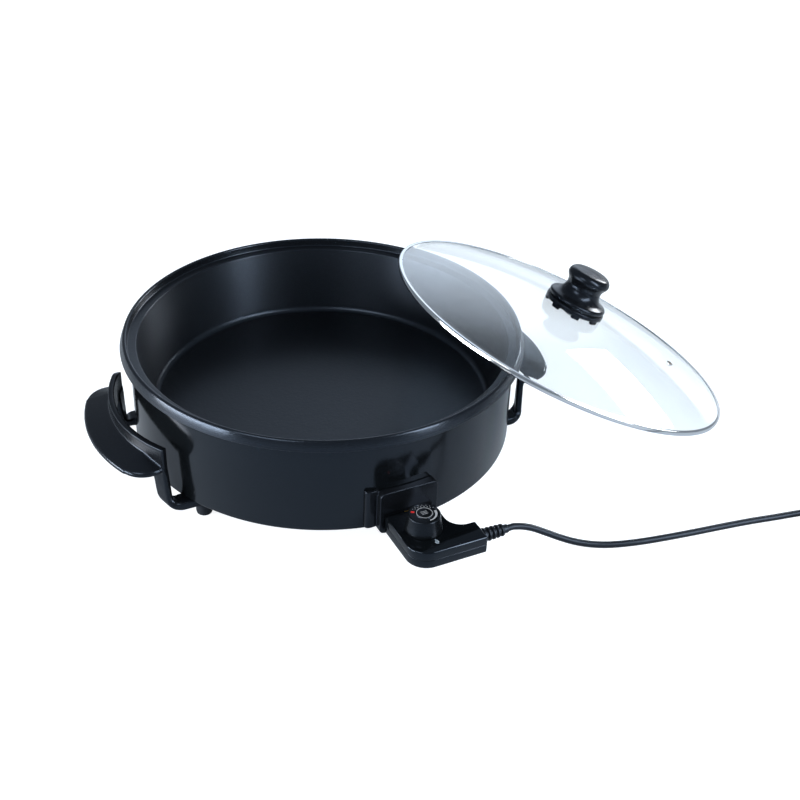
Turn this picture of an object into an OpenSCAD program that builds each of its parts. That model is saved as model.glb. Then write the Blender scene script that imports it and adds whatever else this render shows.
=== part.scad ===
// Electric pizza pan: a deep coated pan in a round casing, a plug-in thermostat and a loose glass lid.
// Sizes are in millimetres. Z is the pan's axis, the worktop is z = 0, and the thermostat faces -Y.

/* [Pan] */
// Outer radius of the rim
rim_r = 201.5; // [180:0.5:230]
// Height of the rim's top above the worktop
rim_top = 129; // [124:1:150]
// Height of the rim's outer band
rim_h = 10; // [9:0.5:14]
// Rounding of the rim's top edges
rim_edge = 1.5; // [0.5:0.1:2.5]
// Width of the rim's top, outside the recess that the lid closes into
rim_w = 7; // [5:0.5:9]
// Depth of that recess below the rim's top
seat_drop = 8; // [5:0.5:8.5]
// Distance of the pan's mouth inside the casing's inner face
wall_room = 6; // [3:0.5:8]
// Lean of the pan's wall from upright, in degrees
wall_lean = 10; // [6:0.5:14]
// Radius of the corner between floor and wall
corner_r = 7; // [5:0.5:16]
// Height of the cooking floor above the worktop
floor_z = 50; // [46:1:58]
// Thickness of the pan's floor and wall
pan_t = 2.5; // [2:0.1:3]

/* [Casing] */
// Width of the rim that stands out over the casing
overhang = 9; // [8:0.5:12]
// Thickness of the casing's sheet
casing_t = 1.5; // [1:0.1:1.6]
// Height of the casing's lower edge above the worktop
casing_z = 23; // [22:0.5:25]
// Rounding of the casing's lower edge
casing_round = 2.5; // [2:0.1:4]
// Width of the lip turned in under the casing
lip_w = 12; // [8:0.5:12.5]
// Thickness of the base plate
base_t = 1.2; // [0.8:0.1:1.4]

/* [Heater] */
// Radius of the heating element's ring
ring_r = 105; // [90:1:115]
// Radius of the heating element's tube
tube_r = 4.2; // [3:0.1:4.6]
// Half the distance between the two terminals
term_x = 14; // [13:0.5:14.5]
// Radius of a terminal pin
pin_r = 2.8; // [2:0.1:3]
// Radius of the temperature probe
probe_r = 3; // [2.5:0.1:3.1]

/* [Handles] */
// Distance of the grip's outer face from the casing, at its middle
grip_out = 26.5; // [25:0.5:34]
// Radius of the grip's outer face, seen from above
grip_r = 137; // [125:1:150]
// Thickness of the grip's upright wall
grip_t = 6; // [4:0.5:7]
// Half the angle that the upright wall spans
grip_half = 34.5; // [32:0.5:36]
// Rounding of the upright wall's upper corners
grip_round = 13; // [8:0.5:16]
// Half the angle that the brim's long part spans
brim_half = 23.7; // [20:0.1:26]
// Width of the brim
brim_w = 25; // [18:0.5:30]
// Height of the grip wall's top above the worktop
grip_top = 83.5; // [80:0.5:90]
// Height of the grip wall's lower edge above the worktop
grip_low = 54; // [50:1:57]
// Height of the brim where it meets the wall
brim_z = 71; // [68:0.5:74]
// Drop of the brim from the wall to its outer edge
brim_drop = 9; // [6:0.5:11]
// Thickness of the brim's outer edge
brim_t = 5; // [3:0.5:6]
// Width of a leg, along the grip's wall
leg_w = 17; // [14:0.5:18]
// Thickness of a leg
leg_t = 7; // [6:0.5:8]
// Distance that a leg leans in towards the casing on its way down
leg_lean = 2; // [0:0.5:4]
// Outer radius of a leg's elbow
elbow_r = 14; // [12:0.5:16]
// Thickness of the arm that runs from the elbow in under the casing
arm_t = 9; // [8:0.5:10]
// Distance of an arm and its foot from the middle of the handle along Y
leg_y = 77; // [74:0.5:84]
// Distance of a foot inside the casing's radius, along X
foot_in = 34.5; // [30:0.5:38]
// Radius of a foot
foot_r = 8; // [6:0.5:9]

/* [Thermostat] */
// Half the width of the thermostat's body
body_half = 25; // [24:0.5:27]
// Thickness of the thermostat's housing
body_h = 18; // [17:0.5:18.4]
// Length of the thermostat's body along Y
body_len = 63; // [60:1:70]
// Distance that the arm reaches past the body's side
arm_len = 23; // [18:1:30]
// Width of the arm that carries the cord
arm_w = 25; // [22:1:27]
// Rounding of the body's front left corner
front_round = 20; // [12:1:22]
// Rounding of the inner corner between body and arm
inner_round = 16; // [10:1:16]
// Radius of the dial's lower edge
dial_r = 18; // [17:0.5:20]
// Radius of the dial's top
dial_top_r = 15; // [14:0.5:17]
// Height of the dial
dial_h = 16.5; // [14:0.5:22]

/* [Socket guard] */
// Half the width of the guard's front plate
plate_half = 29.5; // [27:0.5:31]
// Width of the guard's post, to the left of the front plate
post_w = 11.5; // [9.5:0.5:14]
// Height of the front plate's top above the worktop
guard_top = 66.5; // [58:0.5:72]
// Distance of the front plate's face from the casing
plate_out = 7.5; // [6.5:0.5:11]
// Distance of the post's face from the casing
post_out = 1; // [0.5:0.5:4]
// Rounding of the guard's corners
guard_round = 5; // [3:0.5:6]

/* [Cord] */
// Diameter of the mains cord
cord_d = 6.5; // [5.5:0.1:6.6]
// Length of the strain relief
relief_len = 28; // [20:1:40]
// Radius of the coil's middle turn
coil_r = 36; // [33:0.5:40]
// Radius of the plug's body
plug_r = 18.3; // [17:0.1:19]

/* [Lid] */
// Play between the lid's steel band and the recess that it closes into
lid_play = 2; // [1:0.1:4]
// Height of the steel band
band_h = 6.5; // [6.2:0.1:8]
// Thickness of the glass
glass_t = 4; // [3:0.1:4.2]
// Height of the glass dome's top above the band's lower edge
dome_h = 32.5; // [28:0.5:38]
// Tilt of the leaning lid, in degrees
lid_tilt = 23.6; // [22.8:0.1:24.4]
// Direction in which the lid leans, in degrees from +X
lid_dir = -7; // [-10:0.5:0]
// Radius of the knob's collar
collar_r = 33; // [28:0.5:36]
// Radius of the knob's head
knob_r = 23.5; // [20:0.5:26]
// Height of the knob above its collar
knob_h = 38; // [34:0.5:42]
// Number of feet under the knob's collar
collar_feet = 8; // [6:1:12]

/* [Hidden] */
$fn = 96;

// Names of the sides and corners that repeated pieces sit at, and their signs along X and Y
SIDES = ["left", "right"];
CORNERS = ["front_left", "front_right", "rear_left", "rear_right"];
function side(i) = 2 * (i % 2) - 1;
function corner(i) = [side(i), side(floor(i / 2))];

// Gap between pieces that move against each other, and between pieces laid beside each other
gap = 0.35;
// A small overshoot for cuts
eps = 0.01;
// A small step that keeps the faces of joined solids out of one plane
inset = 0.15;

// Pan and casing, derived
seat_r = rim_r - rim_w;
casing_r = rim_r - overhang;
casing_in = casing_r - casing_t;
mouth_r = casing_in - wall_room;
seat_z = rim_top - seat_drop;
flange_z = rim_top - rim_h;
corner_z = floor_z + corner_r;
corner_x = mouth_r - (seat_z - corner_z) * tan(wall_lean) - corner_r / cos(wall_lean);
skin_x = mouth_r - (seat_z - flange_z) * tan(wall_lean) + pan_t / cos(wall_lean);
under_z = floor_z - pan_t;
lip_r = casing_r - lip_w;
base_z = casing_z + casing_t;
base_r = casing_in - 1.5;
arc_steps = 10;

// Heater, derived
element_up = 3.1;
term_z = base_z + base_t + element_up + tube_r;
bend_r = 14;
bend_x = term_x + bend_r;
bend_y = -sqrt(pow(ring_r + bend_r, 2) - pow(bend_x, 2));
ring_cut = 90 - atan2(-bend_y, bend_x);
boss_w = tube_r + 2.8;
leg_end_y = -(casing_r - 27.5);
collar_len = 20;
pin_past = 12;
term_collar_r = 4.9;
bolt_r = 3;
nut_r = 6;
nut_h = 5;
socket_y = -(ring_r + boss_w + 2);

// Handles, derived
grip_cx = casing_r + grip_out - grip_r;
foot_x = casing_r - foot_in;
arm_z0 = casing_z - arm_t;
leg_turn = grip_half - asin((leg_w / 2 + 4 * inset) / grip_r);
leg_top = (grip_r - leg_t / 2 - 3 * inset) * [cos(leg_turn), sin(leg_turn)] + [grip_cx, 0];
elbow_x = leg_top.x - leg_lean + leg_t / 2 - elbow_r;
elbow_z = arm_z0 + elbow_r;
elbow_turn = 0.85;
elbow_steps = 4;
leg_edge = 1.5;
screw_x = foot_x - foot_r - 4;
screw_r = 2;
head_r = 3.4;
boss_r = 4;

// Guard and thermostat, derived
plate_y = casing_r + plate_out;
post_y = casing_r + post_out;
post_x = -plate_half - post_w / 2;
post_up = 1;
body_y0 = -plate_y - 2;
body_y1 = body_y0 - body_len;
body_z0 = term_z - body_h / 2;
body_z1 = term_z + body_h / 2;
arm_x = body_half + arm_len;
dial_y = body_y0 - 28;
nose_half = 20.5;
nose_h = 13.6;
nose_in = plate_out + 1.5;
nose_z1 = term_z + nose_h / 2;
blade_half = 4;
blade_t = 1.2;
sleeve_r = pin_r + gap + 1.1;
sleeve_len = 24;
probe_back = 20;
probe_len = socket_y - 12 - body_y0 + probe_back;
spindle_r = 3;
lens_r = 2.2;
lens_len = 4.7;
lens_h = 0.8;
face_ring_r = 8;
relief_y = body_y1 + arm_w / 2 + 0.5;
relief_x1 = arm_x + relief_len;
relief_r = 6.8;

// Lid pose: the band stands on the worktop and leans on the rim at two points, with the dome clear of it
lid_r = seat_r - lid_play;
lid_z = lid_r * sin(lid_tilt) + gap;
band_w = 5;
band_in = lid_r - band_w;
touch_r = rim_r - rim_edge;
rise = rim_top + gap - lid_z;
lean = rise / (band_in * sin(lid_tilt));
lean_half = band_in * sqrt(1 - lean * lean);
lean_d = sqrt(touch_r * touch_r - lean_half * lean_half) + band_in * cos(lid_tilt) * lean;
band_t = 0.8;
dome_x = band_in + 0.5;
dome_z = band_h - band_t - 0.3;
dome_R = (dome_x * dome_x + pow(dome_h - dome_z, 2)) / (2 * (dome_h - dome_z));
dome_c = dome_h - dome_R;
rim_under = dome((lean_d - touch_r) * cos(lid_tilt) + rise * sin(lid_tilt), glass_t);
lid_d = max(lean_d, touch_r + (rise * cos(lid_tilt) - rim_under) / sin(lid_tilt) + 2 * gap);
collar_gap = 2.6;
collar_t = 5;
collar_foot_span = 17;
neck_r = 19.5;
neck_round = 12;
head_round = 7;
crown_r = 130;
collar_z = dome_h + collar_gap;
washer_t = 1.6;
washer_r = 14;
washer_z = dome_h - glass_t - washer_t - 0.4;
vent_x = 124;
vent_turn = -24;
vent_r = 3.2;

// Cord: hand-chosen points from the strain relief along the worktop to the coil
cord_r = cord_d / 2;
lay_z = cord_r + gap;
tie_t = 1;
tie_w = 6;
coil_z = cord_r + tie_t + 2 * gap;
coil_pitch = cord_d + 0.6;
coil_turns = 2;
coil_out = coil_r + coil_pitch * coil_turns / 2;
cord_heading = -20;
cord_dir = [cos(cord_heading), sin(cord_heading)];
coil_start = [420, -333];
coil_c = coil_start - coil_out * [cos(cord_heading + 90), sin(cord_heading + 90)];
route = [
    [relief_x1 + cord_d, relief_y, term_z],
    [92, -253.5, 31],
    [102, -256, 27.5],
    [114, -260, 21.5],
    [127, -265, 15],
    [141, -270.5, 9.3],
    [157, -276.5, lay_z + 1.6],
    [175, -283, lay_z],
    [200, -290, lay_z],
    [230, -295.5, lay_z],
    [260, -300, lay_z],
    [290, -304, lay_z],
    [320, -308.5, lay_z],
    [350, -314, lay_z],
    [378, -319.5, lay_z + 0.6],
    [398, -325, coil_z],
    [coil_start.x - 2 * cord_d * cord_dir.x, coil_start.y - 2 * cord_d * cord_dir.y, coil_z]
];
tie_in = coil_out - 1.5 * coil_pitch - cord_r - 2 * gap;
tie_len = coil_pitch + cord_d + 4 * gap;
tie_h = cord_d + coil_pitch + 2 * gap;
plug_z = plug_r + gap;
coil_top = coil_z + coil_pitch;
plug_at = 64;
plug_len = 61;
pin_gap = 19;
plug_pin_r = 2.4;
tail_s = [0, 0.12, 0.28, 0.46, 0.64, 0.82, 1];
tail_h = [0, 0, 0.18, 0.5, 0.82, 1, 1];

// Points on an arc in a plane, from angle a0 to a1
function arc(c, r, a0, a1, n = arc_steps) =
    [for (i = [0:n]) c + r * [cos(a0 + (a1 - a0) * i / n), sin(a0 + (a1 - a0) * i / n)]];

// Rounded rectangle centred on the origin
module rounded(w, h, r) {
    square([w - 2 * r, h], center = true);
    square([w, h - 2 * r], center = true);
    for (x = [-1, 1], y = [-1, 1])
        translate([x * (w / 2 - r), y * (h / 2 - r)]) circle(r, $fn = 32);
}

// Points of a pan's section: inside from the axis to the mouth, rim, and outside back to the axis
function pan_section() = concat(
    [[0, floor_z]],
    arc([corner_x, corner_z], corner_r, -90, -wall_lean),
    [[mouth_r, seat_z], [seat_r, seat_z]],
    arc([seat_r + rim_edge, rim_top - rim_edge], rim_edge, 180, 90, 4),
    arc([rim_r - rim_edge, rim_top - rim_edge], rim_edge, 90, 0, 4),
    [[rim_r, flange_z], [skin_x, flange_z]],
    arc([corner_x, corner_z], corner_r + pan_t, -wall_lean, -90),
    [[0, under_z]]
);

module cooking_pan() color("dimgray") {
    rotate_extrude($fn = 180) polygon(pan_section());
    translate([0, 0, term_z]) difference() {
        rotate([0, 0, -90 + 2 * ring_cut]) rotate_extrude(angle = 360 - 4 * ring_cut)
            translate([ring_r - boss_w, 0]) square([2 * boss_w, under_z - term_z + pan_t / 2]);
        rotate_extrude() translate([ring_r, 0]) circle(tube_r + gap, $fn = 32);
    }
    translate([0, 0, base_z + base_t]) difference() {
        cylinder(h = under_z - base_z - base_t + pan_t / 2, r = nut_r + 2);
        translate([0, 0, -eps]) cylinder(h = under_z - base_z - base_t - 3, r = bolt_r + 0.05);
    }
}

module outer_casing() color("darkslategray") difference() {
    rotate_extrude($fn = 180) polygon(concat(
        [[casing_in, flange_z], [casing_in, base_z], [lip_r, base_z], [lip_r, casing_z]],
        arc([casing_r - casing_round, casing_z + casing_round], casing_round, -90, 0, 6),
        [[casing_r, flange_z]]
    ));
    translate([0, -casing_r, term_z]) cube([2 * nose_half + 2, 4 * lip_w, nose_h - 1], center = true);
    for (i = [0, 1]) guard_screw_place(i) cylinder(h = 8 * casing_t, r = screw_r + 0.05, center = true, $fn = 32);
}

module base_plate() color("silver") difference() {
    translate([0, 0, base_z]) cylinder(h = base_t, r = base_r, $fn = 180);
    translate([0, 0, base_z - eps]) cylinder(h = base_t + 1, r = bolt_r + 0.2);
    for (x = [-1, 1], y = [-1, 1])
        translate([x * screw_x, y * leg_y, base_z - eps]) cylinder(h = base_t + 1, r = screw_r + 0.05, $fn = 32);
}

module centre_bolt() color("silver") {
    translate([0, 0, base_z - nut_h]) cylinder(h = nut_h, r = nut_r, $fn = 6);
    translate([0, 0, base_z]) cylinder(h = under_z - base_z - 5, r = bolt_r);
}

// The horseshoe that the heating element follows: a leg, a bend, the ring, a bend and a leg
function level(p) = [for (q = p) [q.x, q.y, term_z]];
element_points = concat(
    [[-term_x, leg_end_y, term_z]],
    level(arc([-bend_x, bend_y], bend_r, 0, 90 - ring_cut, 5)),
    level(arc([0, 0], ring_r, -90 - ring_cut - 6, -450 + ring_cut + 6, 48)),
    level(arc([bend_x, bend_y], bend_r, 90 + ring_cut, 180, 5)),
    [[term_x, leg_end_y, term_z]]
);
module heating_element() color("gray") tube(element_points, tube_r, 12);

module probe_socket() color("dimgray") difference() {
    translate([-7, leg_end_y + 5, term_z - 4.8]) cube([14, socket_y - leg_end_y - 5, under_z - term_z + 4.8]);
    translate([0, socket_y + 1, term_z]) rotate([90, 0, 0])
        cylinder(h = socket_y - leg_end_y, r = probe_r + gap, $fn = 32);
}

module terminal_pin(i) color("goldenrod") translate([side(i) * term_x, leg_end_y, term_z]) rotate([90, 0, 0])
    cylinder(h = plate_y + pin_past + leg_end_y, r = pin_r, $fn = 48);

module terminal_collar(i) color("white") translate([side(i) * term_x, leg_end_y, term_z]) rotate([90, 0, 0])
    difference() {
        cylinder(h = collar_len, r = term_collar_r, $fn = 48);
        translate([0, 0, -eps]) cylinder(h = collar_len + 1, r = pin_r + 0.05, $fn = 48);
    }

module socket_guard() color("black") difference() {
    union() {
        translate([0, -plate_y, (guard_top + casing_z - 2) / 2]) rotate([-90, 0, 0]) linear_extrude(2 * plate_out)
            rounded(2 * plate_half, guard_top - casing_z + 2, guard_round);
        translate([post_x + 1, 2 * guard_round - post_y, casing_z + 3])
            linear_extrude(guard_top + post_up - casing_z - 3) rounded(post_w + 2, 4 * guard_round, guard_round - 1);
    }
    translate([0, 0, -1]) cylinder(h = rim_top, r = casing_r + 0.1, $fn = 180);
    translate([0, -plate_y, term_z]) cube([2 * (nose_half + gap), 60, nose_h + 2 * gap], center = true);
    for (i = [0, 1]) guard_screw_place(i) cylinder(h = guard_reach(i) + 0.3, r = screw_r + 0.05, $fn = 32);
}

// The guard's two screws are put in from inside the casing: where they stand along X and how far out they reach
guard_spots = [[post_x, post_y - 1], [plate_half - 5, plate_y - 3]];
function guard_seat(i) = sqrt(pow(casing_in, 2) - pow(abs(guard_spots[i].x) + head_r, 2)) - 0.05;
function guard_reach(i) = guard_spots[i].y - guard_seat(i);
module guard_screw_place(i) translate([guard_spots[i].x, -guard_seat(i), guard_top - 14]) rotate([90, 0, 0])
    children();

module guard_screw(i) color("silver") guard_screw_place(i) {
    translate([0, 0, -1.6]) cylinder(h = 1.6, r = head_r, $fn = 32);
    translate([0, 0, -0.5]) cylinder(h = guard_reach(i) + 0.5, r = screw_r, $fn = 32);
}

module earth_blade() color("goldenrod")
    translate([-blade_half, -plate_y + 1, nose_z1 + gap - blade_t]) cube([2 * blade_half, plate_out - 1.5, blade_t]);

// Section of a leg or arm about the point c: turned about Z, dipped from upright, t thick
function leg_ring(c, turn, dip, t) =
    let (a = [cos(dip) * cos(turn), cos(dip) * sin(turn), -sin(dip)], b = [-sin(turn), cos(turn), 0])
    let (h = t / 2, w = leg_w / 2 - inset, e = leg_edge)
    [for (q = [[h, e - w], [h, w - e], [h - e, w], [e - h, w], [-h, w - e], [-h, e - w], [e - h, -w], [h - e, -w]])
        c + q.x * a + q.y * b];

// Sections down a leg, round its elbow and along its arm
function elbow_ring(k) =
    let (t = leg_t + (arm_t - 2 * inset - leg_t) * k, m = elbow_r - inset - t / 2, y = leg_top.y + (leg_y - leg_top.y) * (0.4 + 0.6 * k))
    leg_ring([elbow_x + m * cos(90 * k), y, elbow_z - m * sin(90 * k)], leg_turn * elbow_turn * (1 - k), 90 * k, t);
leg_rings = concat(
    [leg_ring([leg_top.x, leg_top.y, grip_low + 9], leg_turn, 0, leg_t)],
    [for (i = [0:elbow_steps]) elbow_ring(i / elbow_steps)],
    [leg_ring([elbow_x - 6, leg_y, arm_z0 + arm_t / 2], 0, 90, arm_t - 2 * inset)]
);

// The same sections on the handle's other side, wound the other way so that the solid stays the right way out
function other_side(rings) = [for (r = rings) [for (k = [len(r) - 1:-1:0]) [r[k].x, -r[k].y, r[k].z]]];

// One handle on the +X side: upright wall, sloping brim, two legs with elbows and arms under the casing
module handle() {
    brim = [[0, brim_z], [brim_w - 1.5, brim_z - brim_drop + 1], [brim_w, brim_z - brim_drop - 1],
            [brim_w, brim_z - brim_drop - brim_t + 1.5], [brim_w - 2, brim_z - brim_drop - brim_t], [0, brim_z - brim_t - 1]];
    translate([grip_cx, 0, 0]) {
        intersection() {
            rotate([0, 0, -grip_half]) rotate_extrude(angle = 2 * grip_half, $fn = 180)
                translate([grip_r - grip_t, grip_low]) square([grip_t, grip_top - grip_low]);
            translate([0, 0, grip_low]) rotate([90, 0, 90]) linear_extrude(grip_r + 1)
                rounded(2 * (grip_r * sin(grip_half) + 3 * inset), 2 * (grip_top - grip_low), grip_round);
        }
        rotate([0, 0, -brim_half]) rotate_extrude(angle = 2 * brim_half, $fn = 180)
            translate([grip_r - eps, 0]) polygon(brim);
        for (s = [-1, 1]) scale([1, s, 1]) rotate([0, 0, brim_half]) translate([grip_r - 1, 0, 0])
            rotate_extrude(angle = 90) polygon(brim);
    }
    skin(leg_rings);
    skin(other_side(leg_rings));
    for (s = [-1, 1]) difference() {
        union() {
            translate([screw_x - 9, s * leg_y - leg_w / 2, arm_z0]) cube([elbow_x - screw_x + 7, leg_w, arm_t]);
            translate([screw_x, s * leg_y, casing_z - 1]) cylinder(h = casing_t + 1, r = boss_r, $fn = 32);
        }
        translate([screw_x, s * leg_y, 0]) cylinder(h = rim_top, r = screw_r + 0.05, $fn = 32);
        translate([screw_x, s * leg_y, arm_z0 - 1]) cylinder(h = 2.65, r = head_r + 0.35, $fn = 32);
    }
}

module handle_right() color("black") handle();

module handle_left() color("black") rotate([0, 0, 180]) handle();

module handle_screw(i) color("silver") translate([corner(i).x * screw_x, corner(i).y * leg_y, arm_z0]) {
    cylinder(h = 1.6, r = head_r + 0.2, $fn = 32);
    cylinder(h = base_z + base_t - arm_z0 + 2, r = screw_r, $fn = 32);
}

module foot(i) color("black") translate([corner(i).x * foot_x, corner(i).y * leg_y, 0])
    cylinder(h = arm_z0, r = foot_r, $fn = 64);

// Outline of the thermostat's housing, seen from above
module housing_outline() polygon(concat(
    [[-body_half, body_y0]],
    arc([front_round - body_half, body_y1 + front_round], front_round, 180, 270),
    [[arm_x, body_y1], [arm_x, body_y1 + arm_w]],
    arc([body_half + inner_round, body_y1 + arm_w + inner_round], inner_round, 270, 180),
    [[body_half, body_y0]]
));

// Bores for the contact sleeves and the probe, and the room for the switch
module housing_room() {
    for (x = [-1, 1]) translate([x * term_x, body_y0 + 1, term_z]) rotate([90, 0, 0])
        cylinder(h = sleeve_len - nose_in + 1.5, r = sleeve_r + 0.1, $fn = 48);
    translate([0, body_y0 + 1, term_z]) rotate([90, 0, 0])
        cylinder(h = probe_back + 4, r = probe_r + 0.1, $fn = 48);
    translate([-9, body_y0 - 42, term_z - 5]) cube([18, 22, 10]);
}

module housing_lower() color("black") difference() {
    translate([0, 0, body_z0]) linear_extrude(body_h / 2) housing_outline();
    housing_room();
    relief_seat();
    for (i = [0:2]) screw_place(i) translate([0, 0, -1]) cylinder(h = body_h, r = screw_r + 0.05, $fn = 32);
}

module housing_upper() color("black") difference() {
    translate([0, 0, term_z]) linear_extrude(body_h / 2) housing_outline();
    housing_room();
    relief_seat();
    translate([0, dial_y, term_z]) cylinder(h = body_h, r = spindle_r + gap, $fn = 48);
    for (i = [0:2]) screw_place(i) cylinder(h = body_h / 2 + 4, r = screw_r + 0.05, $fn = 32);
}

// Places something under one of the three screws that hold the housing's halves together
screw_spots = [[-18, -17], [18, -17], [arm_x - 12, arm_w / 2 - body_len]];
module screw_place(i) translate([screw_spots[i].x, body_y0 + screw_spots[i].y, body_z0]) children();

module housing_screw(i) color("silver") screw_place(i) {
    translate([0, 0, -1.4]) cylinder(h = 1.4, r = head_r, $fn = 32);
    cylinder(h = body_h / 2 + 3, r = screw_r, $fn = 32);
}

module control_nose() color("black") difference() {
    translate([-nose_half, body_y0, term_z - nose_h / 2]) cube([2 * nose_half, nose_in, nose_h]);
    for (x = [-1, 1]) translate([x * term_x, body_y0 - 1, term_z]) rotate([-90, 0, 0])
        cylinder(h = nose_in + 2, r = sleeve_r + 0.1, $fn = 48);
    translate([0, body_y0 - 1, term_z]) rotate([-90, 0, 0]) cylinder(h = nose_in + 2, r = probe_r + 0.1, $fn = 48);
    translate([-blade_half - gap, body_y0 + 1, nose_z1 - blade_t]) cube([2 * blade_half + 2 * gap, nose_in, nose_h]);
}

module contact_sleeve(i) color("goldenrod")
    translate([side(i) * term_x, body_y0 + nose_in, term_z]) rotate([90, 0, 0]) difference() {
        cylinder(h = sleeve_len, r = sleeve_r, $fn = 48);
        translate([0, 0, -1]) cylinder(h = sleeve_len + 2, r = pin_r + gap, $fn = 48);
    }

module probe_rod() color("silver") translate([0, body_y0 - probe_back, term_z]) rotate([-90, 0, 0]) {
    cylinder(h = probe_len, r = probe_r, $fn = 48);
    translate([0, 0, probe_len]) sphere(probe_r, $fn = 48);
}

module thermostat_switch() color("tan") translate([-8.5, body_y0 - 41.5, term_z - 4.5]) difference() {
    cube([17, 21, 9]);
    translate([8.5, 13.5, 4]) cylinder(h = 10, r = spindle_r + gap, $fn = 48);
}

module pilot_lens() color("ivory") translate([2, dial_y - dial_r - lens_len - 0.5, body_z1]) linear_extrude(lens_h)
    polygon(concat([[0, lens_len]], arc([0, 0], lens_r, 160, 380, 12)));

module dial() color("black") translate([0, dial_y, body_z1 + gap]) difference() {
    rotate_extrude() polygon([[0, 0], [dial_r, 0], [dial_r, 1.5], [dial_top_r, dial_h - 1.2],
        [dial_top_r - 1, dial_h], [dial_top_r - 2, dial_h], [dial_top_r - 2, dial_h - 1], [0, dial_h - 1]]);
    translate([0, 0, -1]) cylinder(h = dial_h - 3, r = spindle_r + 0.05, $fn = 48);
}

module dial_face() color("gray") translate([0, dial_y, body_z1 + gap + dial_h - 1]) rotate_extrude()
    polygon([[0, 0], [dial_top_r - 2.1, 0], [dial_top_r - 2.1, 0.8], [face_ring_r + 0.3, 0.8], [face_ring_r, 1.6], [0, 1.6]]);

module dial_spindle() color("silver") translate([0, dial_y, term_z]) cylinder(h = body_h / 2 + dial_h - 4, r = spindle_r, $fn = 48);

// Seat of the strain relief's flange in the arm's end
module relief_seat() translate([arm_x - 6, relief_y, term_z]) rotate([0, 90, 0]) {
    cylinder(h = 3.05, r = 6.6, $fn = 48);
    cylinder(h = 8, r = 4.9, $fn = 48);
}

// Ribbed and tapered strain relief
module strain_relief() color("black") translate([arm_x - 6, relief_y, term_z]) rotate([0, 90, 0]) difference() {
    union() {
        cylinder(h = 3, r = 6.5, $fn = 48);
        cylinder(h = 8, r = 4.8, $fn = 48);
        translate([0, 0, 6]) cylinder(h = relief_len, r1 = 4.8, r2 = 4.1, $fn = 48);
        for (i = [0:4]) translate([0, 0, 8 + i * (relief_len - 5) / 5])
            cylinder(h = 2.4, r1 = relief_r - i * 0.2, r2 = relief_r - 0.2 - i * 0.2, $fn = 48);
    }
    translate([0, 0, -1]) cylinder(h = 4, r = 2, $fn = 32);
}

// A point on the line along which the cord enters and leaves the coil
function on_heading(s, z) = [coil_start.x + s * cord_dir.x, coil_start.y + s * cord_dir.y, z];

// Rings of a tube along a list of points, and the tube itself
function unit(v) = v / norm(v);
function heading(p, i) = unit(p[min(i + 1, len(p) - 1)] - p[max(i - 1, 0)]);
function ring(p, i, r, n) =
    let (t = heading(p, i), u = unit(cross(t, [0, 0, 1])), v = cross(u, t))
    [for (k = [0:n - 1]) p[i] + r * (cos(360 * k / n) * u + sin(360 * k / n) * v)];

module tube(p, r, n) skin([for (i = [0:len(p) - 1]) ring(p, i, r, n)]);

// A solid through a list of rings that have the same number of points
module skin(rings) {
    m = len(rings);
    n = len(rings[0]);
    polyhedron(
        points = [for (q = rings) each q],
        faces = concat(
            [[for (k = [n - 1:-1:0]) k], [for (k = [0:n - 1]) (m - 1) * n + k]],
            [for (i = [0:m - 2], k = [0:n - 1]) each [
                [i * n + k, (i + 1) * n + (k + 1) % n, (i + 1) * n + k],
                [i * n + k, i * n + (k + 1) % n, (i + 1) * n + (k + 1) % n]]]
        )
    );
}

// A smooth curve through the route's points, four steps a stretch
function smooth(p, i, t) =
    let (a = p[max(i - 1, 0)], b = p[i], c = p[i + 1], d = p[min(i + 2, len(p) - 1)])
    0.5 * (2 * b + (c - a) * t + (2 * a - 5 * b + 4 * c - d) * t * t + (3 * b - a - 3 * c + d) * t * t * t);
function curve(p, steps) = concat([for (i = [0:len(p) - 2], k = [0:steps - 1]) smooth(p, i, k / steps)], [p[len(p) - 1]]);

cord_points = concat([[relief_x1, relief_y, term_z]], curve(route, 2), [on_heading(-cord_d, coil_z)]);
module cord_free() color("black") tube(cord_points, cord_r, 10);

// The coil winds inwards on the worktop, climbs a layer in half a turn, and winds out again on top
loop_steps = 24;
coil_steps = 2 * coil_turns * loop_steps;
function coil_radius(t) =
    t < coil_turns ? coil_out - coil_pitch * t : coil_out - coil_pitch * (2 * coil_turns - t);
function coil_height(t) = coil_z + coil_pitch * min(1, max(0, (t - coil_turns + 0.25) * 2));
function coil_point(t) =
    let (a = cord_heading + 90 - 360 * t)
    [coil_c.x + coil_radius(t) * cos(a), coil_c.y + coil_radius(t) * sin(a), coil_height(t)];
coil_points = concat(
    [on_heading(-cord_d, coil_z)],
    [for (i = [0:coil_steps]) coil_point(i / loop_steps)],
    [on_heading(cord_d, coil_top)]
);
coil_gap = min([for (i = [0:coil_steps], j = [i + loop_steps / 2:1:coil_steps + 2])
    norm(coil_points[i] - coil_points[j])]) - cord_d;
function run(p) = len(p) < 2 ? 0 : [for (i = 0, t = 0; i < len(p); t = t + (i < len(p) - 1 ? norm(p[i + 1] - p[i]) : 0), i = i + 1) t][len(p) - 1];
echo(coil_gap = coil_gap, cord_length = run(cord_points) + run(coil_points) + plug_at);

module cord_coil() color("black") tube(coil_points, cord_r, 6);

tail_points = [for (i = [0:len(tail_s) - 1])
    on_heading(cord_d + (plug_at - cord_d) * tail_s[i], coil_top + (plug_z - coil_top) * tail_h[i])];
module cord_tail() color("black") tube(tail_points, cord_r, 10);

module cord_tie() color("gray") translate([coil_c.x, coil_c.y, 0]) rotate([0, 0, cord_heading - 90]) difference() {
    translate([tie_in - tie_t, -tie_w / 2, gap]) cube([tie_len + 2 * tie_t, tie_w, tie_h + 2 * tie_t]);
    translate([tie_in, -tie_w, gap + tie_t]) cube([tie_len, 2 * tie_w, tie_h]);
}

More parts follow.
